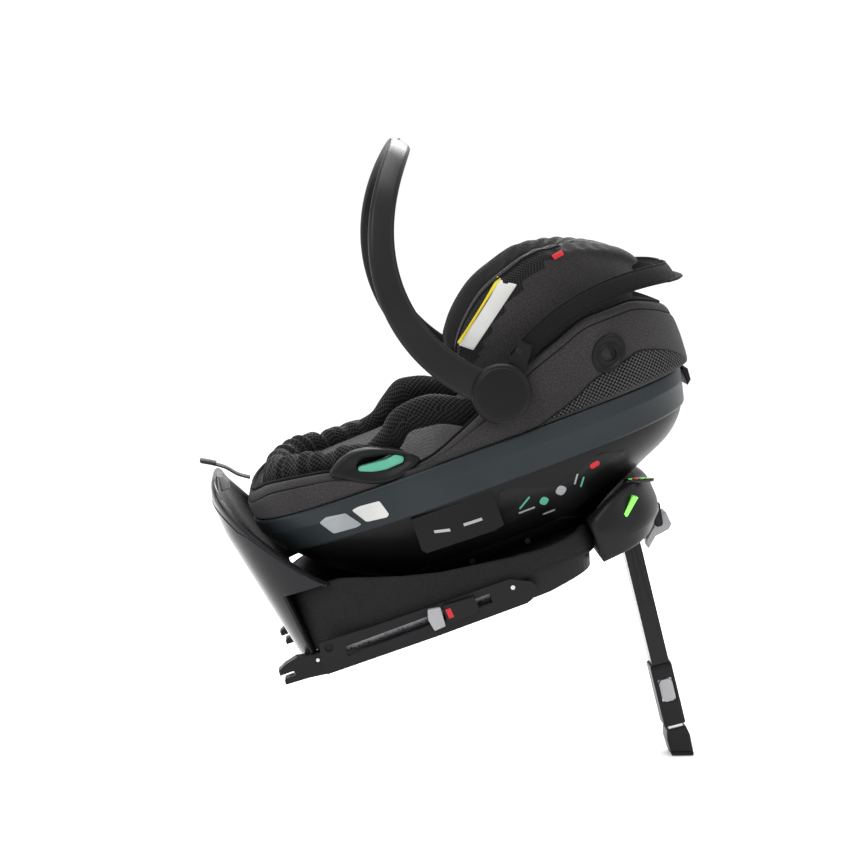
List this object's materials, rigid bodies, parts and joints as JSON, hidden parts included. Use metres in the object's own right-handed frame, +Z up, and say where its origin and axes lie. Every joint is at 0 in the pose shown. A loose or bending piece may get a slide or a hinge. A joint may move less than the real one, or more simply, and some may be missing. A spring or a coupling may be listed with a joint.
{
  "type": "infant car seat",
  "caption": "Rear-facing infant carrier with carry handle, head wings and folding canopy on a swivelling ISOFIX base with rebound shield and support leg.",
  "frame": {"origin": "midway between the two vehicle anchorage bars, on their common axis", "axes": "+X horizontally towards the support leg (the front of the vehicle), +Y across towards the child's right, +Z up; the seat is pitched 20 degrees nose up as on a vehicle cushion"},
  "size_m": [0.6951, 0.44, 0.8713],
  "materials": {
    "base_black": "fine satin",
    "base_grain": "fine grain",
    "shield_gloss": "glossy",
    "shell_black": "satin",
    "rim_green_grey": "satin",
    "handle_satin": "satin",
    "light_grey": "satin",
    "mint": "satin",
    "lens_green": "clear gloss",
    "display_black": "gloss",
    "red": "satin",
    "steel": "brushed",
    "leg_black": "gloss paint",
    "rubber_black": "matte",
    "foam": "matte",
    "cover_fabric": "woven",
    "mesh_black": "spacer mesh",
    "canopy_black": "woven",
    "webbing": "woven webbing"
  },
  "bodies": {
    "base": {"base_tray": "base_black", "base_cover": "base_grain", "side_rails": "base_black", "rebound_shield": "shield_gloss", "front_console": "base_black", "console_display": "display_black", "status_lens": "lens_green", "turntable_bearing": "steel", "leg_bracket": "steel", "leg_hinge_pin": "steel", "base_screws": "steel", "base_pads": "rubber_black"},
    "shield_button": {"shield_button": "light_grey"},
    "leg_lever": {"leg_lever": "light_grey"},
    "isofix": {"isofix_arms": "steel", "isofix_crossbar": "steel", "isofix_jaws": "base_black", "hook_pins": "steel", "isofix_housings": "base_black", "isofix_indicators": "red"},
    "hook_left": {"hook_left": "steel"},
    "hook_right": {"hook_right": "steel"},
    "isofix_button_left": {"isofix_button_left": "light_grey"},
    "isofix_button_right": {"isofix_button_right": "light_grey"},
    "leg_upper": {"leg_outer_tube": "leg_black", "leg_collar": "base_black"},
    "leg_button": {"leg_button": "light_grey"},
    "leg_lower": {"leg_inner_tube": "steel", "leg_foot": "base_black", "foot_sole": "rubber_black"},
    "turntable": {"turntable_disc": "base_black", "cradle": "base_black", "cradle_latches": "steel"},
    "carrier": {"carrier_shell": "shell_black", "shell_rim": "rim_green_grey", "foam_block": "foam", "side_cover": "cover_fabric", "seat_liner": "mesh_black", "newborn_insert": "mesh_black", "belt_guides": "shell_black", "belt_hooks": "mint", "impact_sockets": "shell_black", "adapter_plates": "shell_black", "adapter_bars": "light_grey", "hub_bosses": "shell_black", "canopy_rear": "canopy_black", "harness_straps": "webbing", "shoulder_pads": "mesh_black", "buckle": "shell_black", "adjuster_strap": "webbing"},
    "headrest": {"head_wing": "cover_fabric"},
    "buckle_button": {"buckle_button": "red"},
    "release_lever": {"release_lever": "base_black"},
    "handle": {"handle_arch": "handle_satin", "hub_covers": "shell_black"},
    "handle_button": {"handle_button": "light_grey"},
    "canopy_mid": {"canopy_mid": "canopy_black"},
    "canopy_front": {"canopy_front": "canopy_black", "canopy_brackets": "shell_black"}
  },
  "joints": [
    {"name": "isofix_slide", "type": "slide", "parent": "base", "child": "isofix", "axis": [-0.9397, 0, -0.342], "range_m": [0, 0.09]},
    {"name": "hook_left_turn", "type": "hinge", "parent": "isofix", "child": "hook_left", "pos_m": [0, -0.14, 0], "axis": [0, -1, 0], "range_deg": [0, 75]},
    {"name": "hook_right_turn", "type": "hinge", "parent": "isofix", "child": "hook_right", "pos_m": [0, 0.14, 0], "axis": [0, -1, 0], "range_deg": [0, 75]},
    {"name": "isofix_button_left_press", "type": "slide", "parent": "isofix", "child": "isofix_button_left", "axis": [-0.9397, 0, -0.342], "range_m": [0, 0.004], "stiffness_N_per_m": 1200},
    {"name": "isofix_button_right_press", "type": "slide", "parent": "isofix", "child": "isofix_button_right", "axis": [-0.9397, 0, -0.342], "range_m": [0, 0.004], "stiffness_N_per_m": 1200},
    {"name": "shield_button_press", "type": "slide", "parent": "base", "child": "shield_button", "axis": [0.342, 0, -0.9397], "range_m": [0, 0.004], "stiffness_N_per_m": 1200},
    {"name": "leg_lever_pull", "type": "hinge", "parent": "base", "child": "leg_lever", "pos_m": [0.5135, 0, 0.18264], "axis": [0, -1, 0], "range_deg": [0, 12], "stiffness_Nm_per_rad": 2},
    {"name": "leg_fold", "type": "hinge", "parent": "base", "child": "leg_upper", "pos_m": [0.47036, 0, 0.17545], "axis": [0, 1, 0], "range_deg": [0, 84]},
    {"name": "leg_button_press", "type": "slide", "parent": "leg_upper", "child": "leg_button", "axis": [0, 1, 0], "range_m": [0, 0.0025], "stiffness_N_per_m": 1200},
    {"name": "leg_extend", "type": "slide", "parent": "leg_upper", "child": "leg_lower", "axis": [0.2419, 0, -0.9703], "range_m": [0, 0.14]},
    {"name": "turntable_turn", "type": "hinge", "parent": "base", "child": "turntable", "pos_m": [0.28702, 0, 0.14703], "axis": [-0.342, 0, 0.9397], "range_deg": [-90, 90]},
    {"name": "carrier_lift", "type": "slide", "parent": "turntable", "child": "carrier", "axis": [-0.342, 0, 0.9397], "range_m": [0, 0.25]},
    {"name": "headrest_slide", "type": "slide", "parent": "carrier", "child": "headrest", "axis": [-0.9397, 0, -0.342], "range_m": [0, 0.03]},
    {"name": "buckle_button_press", "type": "slide", "parent": "carrier", "child": "buckle_button", "axis": [0.342, 0, -0.9397], "range_m": [0, 0.002], "stiffness_N_per_m": 1200},
    {"name": "release_lever_pull", "type": "slide", "parent": "carrier", "child": "release_lever", "axis": [-0.342, 0, 0.9397], "range_m": [0, 0.005], "stiffness_N_per_m": 1200},
    {"name": "handle_turn", "type": "hinge", "parent": "carrier", "child": "handle", "pos_m": [0.27644, 0, 0.38369], "axis": [0, 1, 0], "range_deg": [-60, 100]},
    {"name": "handle_button_press", "type": "slide", "parent": "handle", "child": "handle_button", "axis": [0.342, 0, -0.9397], "range_m": [0, 0.002], "stiffness_N_per_m": 1200},
    {"name": "canopy_mid_turn", "type": "hinge", "parent": "carrier", "child": "canopy_mid", "pos_m": [0.27644, 0, 0.38369], "axis": [0, -1, 0], "range_deg": [0, 48]},
    {"name": "canopy_front_turn", "type": "hinge", "parent": "canopy_mid", "child": "canopy_front", "pos_m": [0.27644, 0, 0.38369], "axis": [0, -1, 0], "range_deg": [0, 48]}
  ],
  "couplings": [
    {"joint": "canopy_front_turn", "follows": "canopy_mid_turn", "ratio": 1}
  ]
}
